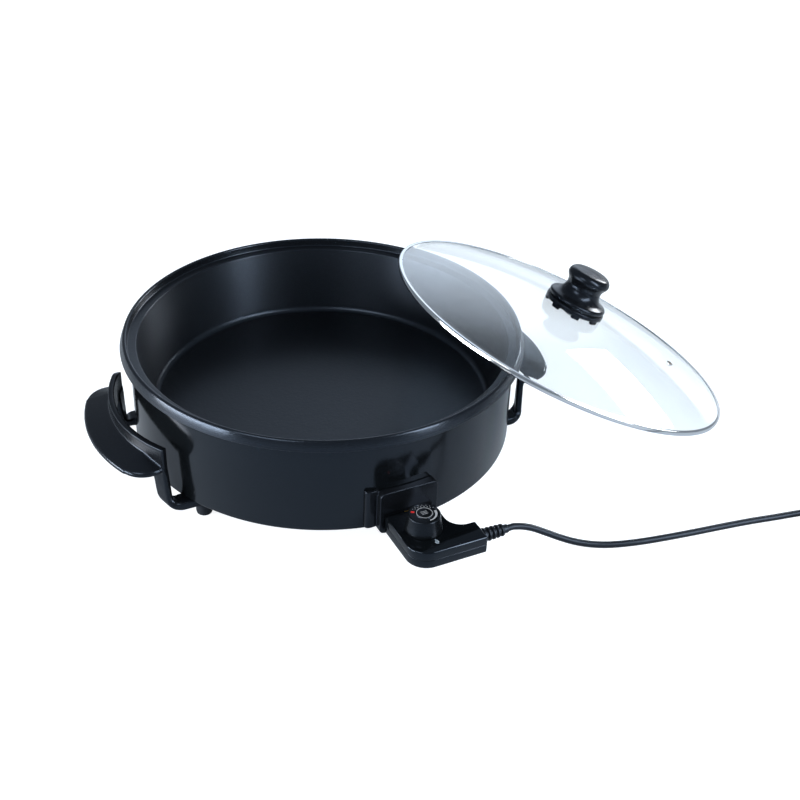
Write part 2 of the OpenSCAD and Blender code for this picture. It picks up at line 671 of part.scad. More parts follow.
// Places something at the plug, whose axis runs along +X here
module at_plug() translate([coil_start.x, coil_start.y, plug_z]) rotate([0, 0, cord_heading]) translate([plug_at, 0, 0])
    rotate([0, 90, 0]) children();

module plug_body() color("black") at_plug() rotate_extrude() polygon([
    [0, 0], [4.2, 0], [5.2, 16], [9, 19], [12, 24], [12.6, 34], [15, 42], [plug_r, 46],
    [plug_r, plug_len - 1], [plug_r - 1, plug_len], [0, plug_len]]);

module plug_pin(i) color("silver") at_plug() translate([0, side(i) * pin_gap / 2, plug_len]) {
    cylinder(h = 17, r = plug_pin_r, $fn = 48);
    translate([0, 0, 17]) cylinder(h = 2, r1 = plug_pin_r, r2 = 1.2, $fn = 48);
}

module plug_earth(i) color("silver") at_plug() translate([side(i) * (plug_r - 3.5) - 1.5, -2.5, plug_len])
    cube([3, 5, 1]);

// Places something on the leaning lid, whose own frame has the band's lower edge at z = 0
module on_lid() rotate([0, 0, lid_dir]) translate([lid_d, 0, lid_z]) rotate([0, lid_tilt, 0]) children();

function dome(r, off) = dome_c + sqrt(pow(dome_R - off, 2) - r * r);

module lid_glass() color("lightblue", 0.4) on_lid() difference() {
    rotate_extrude($fn = 180) polygon(concat(
        [for (i = [0:arc_steps]) [dome_x * i / arc_steps, dome(dome_x * i / arc_steps, 0)]],
        [[lid_r - band_t - 0.3, dome_z], [lid_r - band_t - 0.3, dome_z - glass_t]],
        [for (i = [arc_steps:-1:0]) [dome_x * i / arc_steps, dome(dome_x * i / arc_steps, glass_t)]]
    ));
    at_vent() cylinder(h = 4 * glass_t, r = vent_r - 0.7, center = true, $fn = 32);
    cylinder(h = dome_h + 1, r = bolt_r + 0.2);
}

module lid_band() color("silver") on_lid() rotate_extrude($fn = 180) polygon(concat(
    [[band_in, 0]],
    arc([lid_r - 1, 1], 1, -90, 0, 4),
    arc([lid_r - 1, band_h - 1], 1, 0, 90, 4),
    [[band_in, band_h], [band_in, band_h - band_t], [lid_r - band_t, band_h - band_t],
     [lid_r - band_t, band_t], [band_in, band_t]]
));

module knob_collar() color("black") on_lid() {
    difference() {
        translate([0, 0, collar_z]) cylinder(h = collar_t, r = collar_r);
        translate([0, 0, collar_z - 1]) cylinder(h = collar_t + 2, r = bolt_r + 0.2);
    }
    for (i = [0:collar_feet - 1]) rotate([0, 0, (i + 0.25) * 360 / collar_feet]) rotate_extrude(angle = collar_foot_span)
        translate([collar_r - 4, dome(collar_r, 0) + 0.15]) square([3.6, collar_z + 1 - dome(collar_r, 0)]);
}

module lid_knob() color("black") on_lid() translate([0, 0, collar_z + collar_t]) difference() {
    rotate_extrude() polygon(concat(
        [[0, 0], [collar_r - 1.2, 0]],
        arc([collar_r - 3.8, 3.5], 3, -30, 75, 6),
        arc([neck_r + neck_round, knob_h / 2 - 0.5], neck_round, 245, 140, 8),
        arc([knob_r - head_round, knob_h - 8], head_round, -12, 70, 8),
        arc([0, knob_h - crown_r], crown_r, 82, 90, 4)
    ));
    translate([0, 0, -1]) cylinder(h = 16, r = bolt_r + 0.05);
}

module knob_screw() color("silver") on_lid() {
    translate([0, 0, washer_z - 3.1]) cylinder(h = 3, r = 6, $fn = 48);
    translate([0, 0, washer_z - 1]) cylinder(h = collar_z + collar_t + 11 - washer_z, r = bolt_r);
}

module knob_washer() color("gray") on_lid() translate([0, 0, washer_z]) difference() {
    cylinder(h = washer_t, r = washer_r);
    translate([0, 0, -1]) cylinder(h = washer_t + 2, r = bolt_r + 0.2);
}

// Places something at the vent, square to the glass, with z = 0 midway through it
module at_vent() rotate([0, 0, vent_turn]) translate([vent_x, 0, dome(vent_x, glass_t / 2)])
    rotate([0, asin(vent_x / dome_R), 0]) children();

module vent_eyelet() color("silver") on_lid() at_vent() rotate_extrude($fn = 48) polygon([
    [vent_r - 1.4, -glass_t / 2 - 0.8], [vent_r - 0.9, -glass_t / 2 - 0.8], [vent_r - 0.9, glass_t / 2 + 0.3],
    [vent_r + 1.2, glass_t / 2 + 0.3], [vent_r + 1, glass_t / 2 + 0.9], [vent_r - 1.4, glass_t / 2 + 0.9]]);

cooking_pan();
outer_casing();
base_plate();
centre_bolt();
heating_element();
probe_socket();
for (i = [0:1]) terminal_pin(i);
for (i = [0:1]) terminal_collar(i);
socket_guard();
for (i = [0:1]) guard_screw(i);
earth_blade();
handle_left();
handle_right();
for (i = [0:3]) handle_screw(i);
for (i = [0:3]) foot(i);
housing_lower();
housing_upper();
control_nose();
for (i = [0:1]) contact_sleeve(i);
probe_rod();
thermostat_switch();
pilot_lens();
for (i = [0:2]) housing_screw(i);
strain_relief();
cord_free();
cord_coil();
cord_tail();
cord_tie();
plug_body();
for (i = [0:1]) plug_pin(i);
for (i = [0:1]) plug_earth(i);
dial();
dial_face();
dial_spindle();
lid_glass();
lid_band();
knob_collar();
lid_knob();
knob_screw();
knob_washer();
vent_eyelet();
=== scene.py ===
from math import asin, cos, pi, radians, sin, sqrt, tan

import bpy
from mathutils import Matrix, Vector


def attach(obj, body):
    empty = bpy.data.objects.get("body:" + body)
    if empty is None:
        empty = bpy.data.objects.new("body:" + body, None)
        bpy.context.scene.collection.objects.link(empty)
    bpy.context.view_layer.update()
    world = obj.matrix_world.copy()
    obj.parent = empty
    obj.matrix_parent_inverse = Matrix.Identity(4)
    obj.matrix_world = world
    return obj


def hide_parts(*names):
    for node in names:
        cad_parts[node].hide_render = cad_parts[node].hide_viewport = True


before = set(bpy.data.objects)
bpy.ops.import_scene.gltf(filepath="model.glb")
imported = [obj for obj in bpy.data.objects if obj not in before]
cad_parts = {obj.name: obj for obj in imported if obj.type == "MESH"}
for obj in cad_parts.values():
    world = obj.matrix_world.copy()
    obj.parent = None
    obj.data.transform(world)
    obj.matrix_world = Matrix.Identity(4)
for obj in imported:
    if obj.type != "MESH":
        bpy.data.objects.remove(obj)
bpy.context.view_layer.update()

MM = 0.001
scene = bpy.context.scene
scene.view_settings.view_transform = "Standard"

# Camera: a product shot from above the worktop, a little to the left of the thermostat.
# Its lens and place were fitted to the rim, the feet and the thermostat in the photograph.
CAMERA_TURN = radians(-27.5)
CAMERA_RISE = radians(33.65)
CAMERA_ROLL = radians(2.39)
CAMERA_AWAY = 1305
CAMERA_ASIDE = 79.9
CAMERA_BELOW = -70.1
RIM_TOP = 129
back = Vector((sin(CAMERA_TURN) * cos(CAMERA_RISE), -cos(CAMERA_TURN) * cos(CAMERA_RISE), sin(CAMERA_RISE)))
right = Vector((cos(CAMERA_TURN), sin(CAMERA_TURN), 0))
up = back.cross(right)
eye = Vector((0, 0, RIM_TOP)) + CAMERA_AWAY * back + CAMERA_ASIDE * right + CAMERA_BELOW * up
right, up = (cos(CAMERA_ROLL) * right + sin(CAMERA_ROLL) * up,
             cos(CAMERA_ROLL) * up - sin(CAMERA_ROLL) * right)
bpy.ops.object.camera_add()
camera = bpy.context.object
camera.matrix_world = Matrix.Translation(eye * MM) @ Matrix((right, up, back)).transposed().to_4x4()
camera.data.lens = 58.5
camera.data.sensor_width = 36
scene.camera = camera


# Mains lead: a round two-core-and-earth flex in a soft black jacket, moulded into the strain relief.
# It drops to the worktop, runs off to the right, and its spare length lies in a tied coil beside the plug.
def linear(hex_colour):
    """A colour written as sRGB hex, in the linear values that a shader takes."""
    parts = [int(hex_colour[i:i + 2], 16) / 255 for i in (1, 3, 5)]
    return (*[p / 12.92 if p <= 0.04045 else ((p + 0.055) / 1.055) ** 2.4 for p in parts], 1)


def add_node(tree, kind, settings=(), **links):
    """Adds a shader node, sets its properties or sockets, and links sockets to the outputs given by name."""
    node = tree.nodes.new("ShaderNode" + kind)
    for key, value in dict(settings).items():
        if key in node.inputs:
            node.inputs[key].default_value = value
        else:
            setattr(node, key, value)
    for key, source in links.items():
        tree.links.new(source, node.inputs[key.replace("_", " ")])
    return node


def new_material(name, colour, roughness, shine=0.5, tint="#FFFFFF"):
    """A material with its node tree and shader, and its plain colour, roughness and shine set."""
    material = bpy.data.materials.new(name)
    material.use_nodes = True
    shader = material.node_tree.nodes["Principled BSDF"]
    shader.inputs["Base Color"].default_value = linear(colour)
    shader.inputs["Roughness"].default_value = roughness
    shader.inputs["Specular IOR Level"].default_value = shine
    shader.inputs["Specular Tint"].default_value = linear(tint)
    return material, material.node_tree, shader


# Soft PVC jacket: extruded, so dull and even, with a faint waviness about 5 mm long.
# The gloss of every black surface is tinted a little blue, as it is under cool studio light.
COOL = "#C9E0FF"
pvc, tree, shader = new_material("pvc_jacket", "#0E1013", 0.4, 0.3, COOL)
place = add_node(tree, "TexCoord")
wave = add_node(tree, "TexNoise", {"Scale": 220, "Detail": 2}, Vector=place.outputs["Object"])
bump = add_node(tree, "Bump", {"Strength": 0.12, "Distance": 0.0003}, Height=wave.outputs["Fac"])
tree.links.new(bump.outputs["Normal"], shader.inputs["Normal"])

CORD_D = 6.5
CORD_R = CORD_D / 2
CLEAR = 0.35
LAY_Z = CORD_R + CLEAR
COIL_Z = CORD_R + 1 + 2 * CLEAR
COIL_PITCH = CORD_D + 0.6
COIL_TURNS = 2
COIL_MID_R = 36
COIL_OUT = COIL_MID_R + COIL_PITCH * COIL_TURNS / 2
COIL_TOP = COIL_Z + COIL_PITCH
HEADING = radians(-20)
COIL_START = Vector((420, -333, 0))
PLUG_AT = 64
PLUG_Z = 18.3 + CLEAR
RELIEF_END = Vector((76, -252, 33))
heading = Vector((cos(HEADING), sin(HEADING), 0))
coil_centre = COIL_START - COIL_OUT * Vector((cos(HEADING + pi / 2), sin(HEADING + pi / 2), 0))
route = [RELIEF_END + Vector((CORD_D, 0, 0))] + [Vector(p) for p in (
    (92, -253.5, 31), (102, -256, 27.5), (114, -260, 21.5), (127, -265, 15), (141, -270.5, 9.3),
    (157, -276.5, LAY_Z + 1.6), (175, -283, LAY_Z), (200, -290, LAY_Z), (230, -295.5, LAY_Z),
    (260, -300, LAY_Z), (290, -304, LAY_Z), (320, -308.5, LAY_Z), (350, -314, LAY_Z),
    (378, -319.5, LAY_Z + 0.6), (398, -325, COIL_Z))]
route.append(COIL_START - 2 * CORD_D * heading + Vector((0, 0, COIL_Z)))


def on_curve(points, i, t):
    """A point on the smooth curve through points, a part t of the way from point i to the next."""
    a, b, c, d = (points[min(max(k, 0), len(points) - 1)] for k in (i - 1, i, i + 1, i + 2))
    bend = 2 * a - 5 * b + 4 * c - d
    return 0.5 * (2 * b + (c - a) * t + bend * t ** 2 + (3 * b - a - 3 * c + d) * t ** 3)


def on_coil(turn):
    """A point on the coil: inwards on the worktop, up a layer where it reverses, outwards on top."""
    angle = HEADING + pi / 2 - 2 * pi * turn
    radius = COIL_OUT - COIL_PITCH * min(turn, 2 * COIL_TURNS - turn)
    height = COIL_Z + COIL_PITCH * min(1, max(0, 2 * (turn - COIL_TURNS + 0.25)))
    return coil_centre + Vector((radius * cos(angle), radius * sin(angle), height))


ROUTE_STEPS, COIL_STEPS, TAIL_STEPS = 5, 36, 4
line = [RELIEF_END]
line += [on_curve(route, i, k / ROUTE_STEPS) for i in range(len(route) - 1) for k in range(ROUTE_STEPS)]
line += [route[-1], COIL_START - CORD_D * heading + Vector((0, 0, COIL_Z))]
line += [on_coil(i / COIL_STEPS) for i in range(2 * COIL_TURNS * COIL_STEPS + 1)]
tail_along = [0, 0.12, 0.28, 0.46, 0.64, 0.82, 1]
tail_rise = [0, 0, 0.18, 0.5, 0.82, 1, 1]
tail = [COIL_START + (CORD_D + (PLUG_AT - CORD_D) * s) * heading
        + Vector((0, 0, COIL_TOP + (PLUG_Z - COIL_TOP) * h)) for s, h in zip(tail_along, tail_rise)]
line += [on_curve(tail, i, k / TAIL_STEPS) for i in range(len(tail) - 1) for k in range(TAIL_STEPS)]
line.append(tail[-1])

curve = bpy.data.curves.new("mains_lead", "CURVE")
curve.dimensions = "3D"
curve.bevel_depth = CORD_R * MM
curve.bevel_resolution = 4
curve.use_fill_caps = True
spline = curve.splines.new("POLY")
spline.points.add(len(line) - 1)
for point, place_mm in zip(spline.points, line):
    point.co = (*(place_mm * MM), 1)
spline.use_smooth = True
mains_lead = bpy.data.objects.new("mains_lead", curve)
scene.collection.objects.link(mains_lead)
curve.materials.append(pvc)
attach(mains_lead, "control")
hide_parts("cord_free", "cord_coil", "cord_tail")


# Strain relief: a soft PVC sleeve moulded on the lead, with five ribs that let it bend.
# Its flange is held between the thermostat's two shells, in a seat at the end of the arm.
def arc(x, z, radius, start, end, steps=8):
    """Points on an arc of a section, in mm, from one angle in degrees to another."""
    angles = [radians(start + (end - start) * i / steps) for i in range(steps + 1)]
    return [(x + radius * cos(a), z + radius * sin(a)) for a in angles]


def pick(piece):
    """Makes one object the only one selected and active, in object mode."""
    bpy.ops.object.select_all(action="DESELECT")
    piece.select_set(True)
    bpy.context.view_layer.objects.active = piece


MERGE = 0.005 * MM


def turned(name, section, steps, smooth=35):
    """A piece turned about Z from its half section, in mm; off the axis, its first point closes it."""
    points = list(section)
    if points[0][0] > 0:
        points.append(points[0])
    mesh = bpy.data.meshes.new(name)
    corners = [(x * MM, 0, z * MM) for x, z in points]
    mesh.from_pydata(corners, [(i, i + 1) for i in range(len(points) - 1)], [])
    piece = bpy.data.objects.new(name, mesh)
    scene.collection.objects.link(piece)
    pick(piece)
    bpy.ops.object.mode_set(mode="EDIT")
    bpy.ops.mesh.select_all(action="SELECT")
    bpy.ops.mesh.spin(steps=steps, angle=2 * pi, center=(0, 0, 0), axis=(0, 0, 1))
    bpy.ops.mesh.select_all(action="SELECT")
    bpy.ops.mesh.remove_doubles(threshold=MERGE)
    bpy.ops.mesh.normals_make_consistent(inside=False)
    bpy.ops.object.mode_set(mode="OBJECT")
    bpy.ops.object.shade_smooth_by_angle(angle=radians(smooth))
    return piece


def put(piece, where):
    """Moves a finished piece to its place and leaves the place in its mesh."""
    pick(piece)
    piece.matrix_world = where @ piece.matrix_world
    bpy.ops.object.transform_apply(location=True, rotation=True, scale=True)


def at(x, y, z):
    """A move to a place in mm."""
    return Matrix.Translation(Vector((x, y, z)) * MM)


def fit(piece, body, slot, material, *nodes):
    """Gives a finished piece its material and its body, and hides the CAD nodes that it stands for; slot is
    not used.
    """
    piece.data.materials.clear()
    piece.data.materials.append(material)
    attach(piece, body)
    if nodes:
        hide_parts(*nodes)


TERMINAL_Z, RELIEF_X, RELIEF_Y = 33, 42, -252
RIBS, RIB_PITCH, RIB_R, RIB_ROUND = 5, 4.6, 6.8, 0.7
relief_section = [(0, 0.2)] + arc(6, 0.7, 0.5, -90, 0, 3) + [(6.5, 2.6), (6.2, 3), (4.8, 3), (4.8, 7.6)]
for i in range(RIBS):
    low, out, core = 8 + RIB_PITCH * i, RIB_R - 0.2 * i, 4.7 - 0.12 * i
    relief_section += [(core + 0.05, low - 0.1)] + arc(out - RIB_ROUND, low + RIB_ROUND, RIB_ROUND, -90, 0, 3)
    relief_section += arc(out - RIB_ROUND - 0.1, low + 1.7, RIB_ROUND, 0, 90, 3) + [(core, low + 2.5)]
relief_section += [(4.15, 32.6)] + arc(3.7, 33.5, 0.4, 0, 90, 3) + [(0, 33.95)]
relief = turned("ribbed_strain_relief", relief_section, 64)
put(relief, at(RELIEF_X, RELIEF_Y, TERMINAL_Z) @ Matrix.Rotation(pi / 2, 4, "Y"))
fit(relief, "control", "rubber", pvc, "strain_relief")

# Plug: a round two-pin moulding on the end of the lead, with a waist to pull by.
# Its pins, its side contacts and the tie round the coil are the CAD's own.
plug_section = [(0, 0)] + arc(3.8, 0.4, 0.4, -90, 0, 3) + [(4.6, 8), (5.2, 16), (7.4, 17.6), (9.4, 19.4)]
plug_section += [(11.2, 22), (12, 25), (12.2, 29), (12.8, 34), (14, 39), (15.6, 43)]
plug_section += arc(16.9, 46.6, 1.4, 130, 0, 4)[2:] + [(18.3, 47), (18.3, 60)]
plug_section += arc(17.3, 60, 1, 0, 90, 4) + [(0, 61)]
plug = turned("moulded_plug", plug_section, 72)
plug_place = COIL_START + PLUG_AT * heading
plug_turn = Matrix.Rotation(HEADING, 4, "Z") @ Matrix.Rotation(pi / 2, 4, "Y")
put(plug, at(plug_place.x, plug_place.y, PLUG_Z) @ plug_turn)
fit(plug, "control", "rubber", pvc, "plug_body")

# Cooking pan: drawn aluminium under a black non-stick coat, hung in the casing by its broad rim.
# A ledge for the lid is pressed inside the rim, and the floor meets the wall in a tight curve.
RIM_R, SEAT_R, SEAT_Z, MOUTH_R, FLOOR_Z, CORNER_R, WALL_LEAN = 201.5, 194.5, 121, 185, 50, 7, radians(10)
FLANGE_Z, PAN_T = 119, 2.5
MOUTH_ROUND, SEAT_ROUND, RIM_IN_ROUND, RIM_OUT_ROUND, FLANGE_ROUND = 1.4, 1.2, 1.5, 2.4, 0.7
RIM_TOP_OUT, RIM_SLOPE = RIM_R - 5, 20
corner_z = FLOOR_Z + CORNER_R
corner_x = MOUTH_R - (SEAT_Z - corner_z) * tan(WALL_LEAN) - CORNER_R / cos(WALL_LEAN)
skin_x = MOUTH_R - (SEAT_Z - FLANGE_Z) * tan(WALL_LEAN) + PAN_T / cos(WALL_LEAN)
pan_section = [(0, FLOOR_Z)] + arc(corner_x, corner_z, CORNER_R, -90, -10, 12)
pan_section += arc(MOUTH_R + MOUTH_ROUND, SEAT_Z - MOUTH_ROUND, MOUTH_ROUND, 170, 90, 4)
pan_section += arc(SEAT_R - SEAT_ROUND, SEAT_Z + SEAT_ROUND, SEAT_ROUND, -90, 0, 4)
pan_section += arc(SEAT_R + RIM_IN_ROUND, RIM_TOP - RIM_IN_ROUND, RIM_IN_ROUND, 180, 90, 5)
pan_section += arc(RIM_TOP_OUT, RIM_TOP - RIM_OUT_ROUND, RIM_OUT_ROUND, 90, RIM_SLOPE, 6)
pan_section += arc(RIM_R - FLANGE_ROUND, FLANGE_Z + FLANGE_ROUND, FLANGE_ROUND, 0, -90, 4)
pan_section.append((skin_x, FLANGE_Z))
pan_section += arc(corner_x, corner_z, CORNER_R + PAN_T, -10, -90, 12) + [(0, FLOOR_Z - PAN_T)]
coated_pan = turned("coated_pan", pan_section, 256)

# Non-stick coat: sprayed and baked, so satin black with a fine pebbled skin. The walls and the rim were
# brushed round before coating and draw highlights out across the lines, and the rim shines more.
# Pebbles of 1 mm and lines of 0.2 mm are drawn about three times as wide, so that they show.
non_stick, tree, shader = new_material("non_stick_coat", "#0D0F12", 0.3, 0.35, COOL)
place = add_node(tree, "TexCoord")
flecks = add_node(tree, "TexNoise", {"Scale": 900, "Detail": 1}, Vector=place.outputs["Object"])
tone = add_node(tree, "ValToRGB", Fac=flecks.outputs["Fac"])
tone.color_ramp.elements[0].position = 0.45
tone.color_ramp.elements[0].color = linear("#080A0D")
tone.color_ramp.elements[1].position = 0.75
tone.color_ramp.elements[1].color = linear("#0F1216")
tree.links.new(tone.outputs["Color"], shader.inputs["Base Color"])
height = add_node(tree, "SeparateXYZ", Vector=place.outputs["Object"])
wall_foot = (FLOOR_Z + 1) * MM
wall_grit = add_node(tree, "MapRange", {"From Min": wall_foot, "From Max": corner_z * MM, "To Min": 0.3,
                                        "To Max": 0.42}, Value=height.outputs["Z"])
gloss = add_node(tree, "MapRange", {"From Min": (FLANGE_Z - 0.5) * MM, "From Max": (SEAT_Z + 1.5) * MM,
                                    "To Max": 0.25},
                 Value=height.outputs["Z"], To_Min=wall_grit.outputs["Result"])
tree.links.new(gloss.outputs["Result"], shader.inputs["Roughness"])
pebbles = add_node(tree, "TexNoise", {"Scale": 330, "Detail": 3}, Vector=place.outputs["Object"])
bump = add_node(tree, "Bump", {"Strength": 0.2, "Distance": 0.0004}, Height=pebbles.outputs["Fac"])
round_it = add_node(tree, "Mapping", {"Scale": (9, 9, 1600)}, Vector=place.outputs["Object"])
lines = add_node(tree, "TexNoise", {"Scale": 1, "Detail": 2}, Vector=round_it.outputs["Vector"])
brushed = add_node(tree, "Bump", {"Strength": 0.12, "Distance": 0.0004}, Height=lines.outputs["Fac"],
                   Normal=bump.outputs["Normal"])
tree.links.new(brushed.outputs["Normal"], shader.inputs["Normal"])
shader.inputs["Anisotropic Rotation"].default_value = 0.25
walls = add_node(tree, "MapRange", {"From Min": wall_foot, "From Max": (corner_z + 1) * MM, "To Max": 0.75},
                 Value=height.outputs["Z"])
tree.links.new(walls.outputs["Result"], shader.inputs["Anisotropic"])
turning = add_node(tree, "Tangent", {"direction_type": "RADIAL", "axis": "Z"})
tree.links.new(turning.outputs["Tangent"], shader.inputs["Tangent"])
fit(coated_pan, "pan", "coated_pan", non_stick, "cooking_pan")


# Outer casing: a deep-drawn steel skirt, enamelled gloss black, with its lower edge turned in under the pan.
# A slot at the front lets the terminals and the probe through, beside two holes for the guard's screws.
def cut_out(piece, cutter):
    """Cuts one shape out of a piece, and takes the cutting shape away."""
    pick(piece)
    cut = piece.modifiers.new("cut", "BOOLEAN")
    cut.object = cutter
    bpy.ops.object.modifier_apply(modifier=cut.name)
    bpy.data.objects.remove(cutter)


CASING_R, CASING_IN, CASING_Z, CASING_ROUND, LIP_R = 192.5, 191, 23, 2.5, 180.5
SLOT_WIDE, SLOT_DEEP, SLOT_HIGH = 43, 48, 12.6
SCREW_SPOTS, SCREW_Z, SCREW_HOLE_R, CUT_DEEP = (-35.25, 24.5), 52.5, 2.05, 20
lip_top = CASING_Z + CASING_R - CASING_IN
casing_section = [(CASING_IN, FLANGE_Z), (CASING_IN, lip_top), (LIP_R, lip_top), (LIP_R, CASING_Z)]
casing_section += arc(CASING_R - CASING_ROUND, CASING_Z + CASING_ROUND, CASING_ROUND, -90, 0, 8)
casing_section.append((CASING_R, FLANGE_Z))
casing = turned("enamelled_casing", casing_section, 256)
bpy.ops.mesh.primitive_cube_add(size=1, scale=(SLOT_WIDE * MM, SLOT_DEEP * MM, SLOT_HIGH * MM),
                                location=(0, -CASING_R * MM, TERMINAL_Z * MM))
cut_out(casing, bpy.context.object)
for x in SCREW_SPOTS:
    bpy.ops.mesh.primitive_cylinder_add(vertices=32, radius=SCREW_HOLE_R * MM, depth=CUT_DEEP * MM,
                                        rotation=(pi / 2, 0, 0),
                                        location=(x * MM, -CASING_IN * MM, SCREW_Z * MM))
    cut_out(casing, bpy.context.object)

# Gloss enamel on steel: smooth and deep, with the faint ripple of a sprayed coat about 9 mm across.
enamel, tree, shader = new_material("gloss_black_enamel", "#07090B", 0.12, 0.34, COOL)
place = add_node(tree, "TexCoord")
ripple = add_node(tree, "TexNoise", {"Scale": 110, "Detail": 1}, Vector=place.outputs["Object"])
bump = add_node(tree, "Bump", {"Strength": 0.03, "Distance": 0.0003}, Height=ripple.outputs["Fac"])
tree.links.new(bump.outputs["Normal"], shader.inputs["Normal"])
fit(casing, "pan", "casing", enamel, "outer_casing")


# Heater and underside: a plated steel base plate bolted up to the pan, the tubular element in its boss,
# brass terminals in ceramic collars, and the zinc-plated screws of the handles and the guard.
def dress(material, *names):
    """Gives CAD nodes a material in their own slots."""
    for name in names:
        for slot_of_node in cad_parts[name].material_slots:
            slot_of_node.material = material


# Zinc-plated steel: rolled and plated, a soft grey metal with cloudy patches about 6 mm across.
zinc, tree, shader = new_material("zinc_plated_steel", "#B4B8BC", 0.32)
shader.inputs["Metallic"].default_value = 1
place = add_node(tree, "TexCoord")
cloud = add_node(tree, "TexNoise", {"Scale": 160, "Detail": 4}, Vector=place.outputs["Object"])
rough = add_node(tree, "MapRange", {"To Min": 0.24, "To Max": 0.42}, Value=cloud.outputs["Fac"])
tree.links.new(rough.outputs["Result"], shader.inputs["Roughness"])
dress(zinc, "base_plate", "centre_bolt", "guard_screw_left", "guard_screw_right", "dial_spindle",
      "handle_screw_front_left", "handle_screw_front_right", "handle_screw_rear_left",
      "handle_screw_rear_right", "housing_screw_1", "housing_screw_2", "housing_screw_3", "knob_screw",
      "plug_earth_left", "plug_earth_right", "probe_rod")

# Heat-darkened steel: the element's sheath and other steel near it, oxidised in patches about 4 mm across.
scale_steel, tree, shader = new_material("heat_darkened_steel", "#4B4744", 0.5)
shader.inputs["Metallic"].default_value = 0.8
place = add_node(tree, "TexCoord")
scorch = add_node(tree, "TexNoise", {"Scale": 240, "Detail": 3}, Vector=place.outputs["Object"])
tone = add_node(tree, "ValToRGB", Fac=scorch.outputs["Fac"])
tone.color_ramp.elements[0].color = linear("#3A3634")
tone.color_ramp.elements[1].color = linear("#6A645E")
tree.links.new(tone.outputs["Color"], shader.inputs["Base Color"])
dress(scale_steel, "heating_element", "probe_socket")

# Brass: turned pins and rolled sleeves, warm and bright, dulled in fine patches about 2 mm across.
brass, tree, shader = new_material("turned_brass", "#C9A45A", 0.25)
shader.inputs["Metallic"].default_value = 1
place = add_node(tree, "TexCoord")
dulling = add_node(tree, "TexNoise", {"Scale": 480, "Detail": 2}, Vector=place.outputs["Object"])
rough = add_node(tree, "MapRange", {"To Min": 0.18, "To Max": 0.4}, Value=dulling.outputs["Fac"])
tree.links.new(rough.outputs["Result"], shader.inputs["Roughness"])
dress(brass, "terminal_pin_left", "terminal_pin_right", "contact_sleeve_left", "contact_sleeve_right",
      "earth_blade", "plug_pin_left", "plug_pin_right")

# Steatite ceramic: pressed and fired, chalky white with a grain of about 1 mm.
steatite, tree, shader = new_material("steatite_ceramic", "#E4E0D6", 0.55)
place = add_node(tree, "TexCoord")
grain = add_node(tree, "TexNoise", {"Scale": 900, "Detail": 2}, Vector=place.outputs["Object"])
bump = add_node(tree, "Bump", {"Strength": 0.2, "Distance": 0.0002}, Height=grain.outputs["Fac"])
tree.links.new(bump.outputs["Normal"], shader.inputs["Normal"])
dress(steatite, "terminal_collar_left", "terminal_collar_right", "thermostat_switch")


# Side handles: one moulding each of black phenolic, an upright curved wall with a sloping brim to lift by.
# Two legs run down to elbows and in under the casing, where a screw through the base plate holds each arm.
def moulded_copy(name, node, voxel, rounds):
    """A copy of a CAD node, merged, with its edges softened as a moulding's are; voxel in mm."""
    piece = bpy.data.objects.new(name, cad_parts[node].data.copy())
    scene.collection.objects.link(piece)
    pick(piece)
    bpy.ops.object.mode_set(mode="EDIT")
    bpy.ops.mesh.select_all(action="SELECT")
    bpy.ops.mesh.remove_doubles(threshold=MERGE)
    bpy.ops.object.mode_set(mode="OBJECT")
    blocks = piece.modifiers.new("remesh", "REMESH")
    blocks.mode = "VOXEL"
    blocks.voxel_size = voxel * MM
    soft = piece.modifiers.new("soften", "SMOOTH")
    soft.factor = 0.5
    soft.iterations = rounds
    bpy.ops.object.modifier_apply(modifier="remesh")
    bpy.ops.object.modifier_apply(modifier="soften")
    bpy.ops.object.shade_smooth()
    return piece


# Phenolic moulding: hard and dark, with a satin skin and a cloudy sheen in patches about 12 mm across.
phenolic, tree, shader = new_material("phenolic_moulding", "#0B0D10", 0.24, 0.25, COOL)
place = add_node(tree, "TexCoord")
sheen = add_node(tree, "TexNoise", {"Scale": 80, "Detail": 3}, Vector=place.outputs["Object"])
rough = add_node(tree, "MapRange", {"To Min": 0.18, "To Max": 0.3}, Value=sheen.outputs["Fac"])
tree.links.new(rough.outputs["Result"], shader.inputs["Roughness"])
skin = add_node(tree, "TexNoise", {"Scale": 600, "Detail": 2}, Vector=place.outputs["Object"])
bump = add_node(tree, "Bump", {"Strength": 0.05, "Distance": 0.0003}, Height=skin.outputs["Fac"])
tree.links.new(bump.outputs["Normal"], shader.inputs["Normal"])
for side in ("left", "right"):
    handle = moulded_copy("moulded_handle_" + side, "handle_" + side, voxel=0.8, rounds=16)
    fit(handle, "pan", "handle_plastic", phenolic, "handle_" + side)

# Socket guard: a phenolic plate in front of the terminals with a post at its left, screwed on from inside.
# The thermostat's nose slides through its mouth, past the earth blade.
guard = moulded_copy("moulded_guard", "socket_guard", voxel=0.5, rounds=18)
fit(guard, "pan", "handle_plastic", phenolic, "socket_guard")

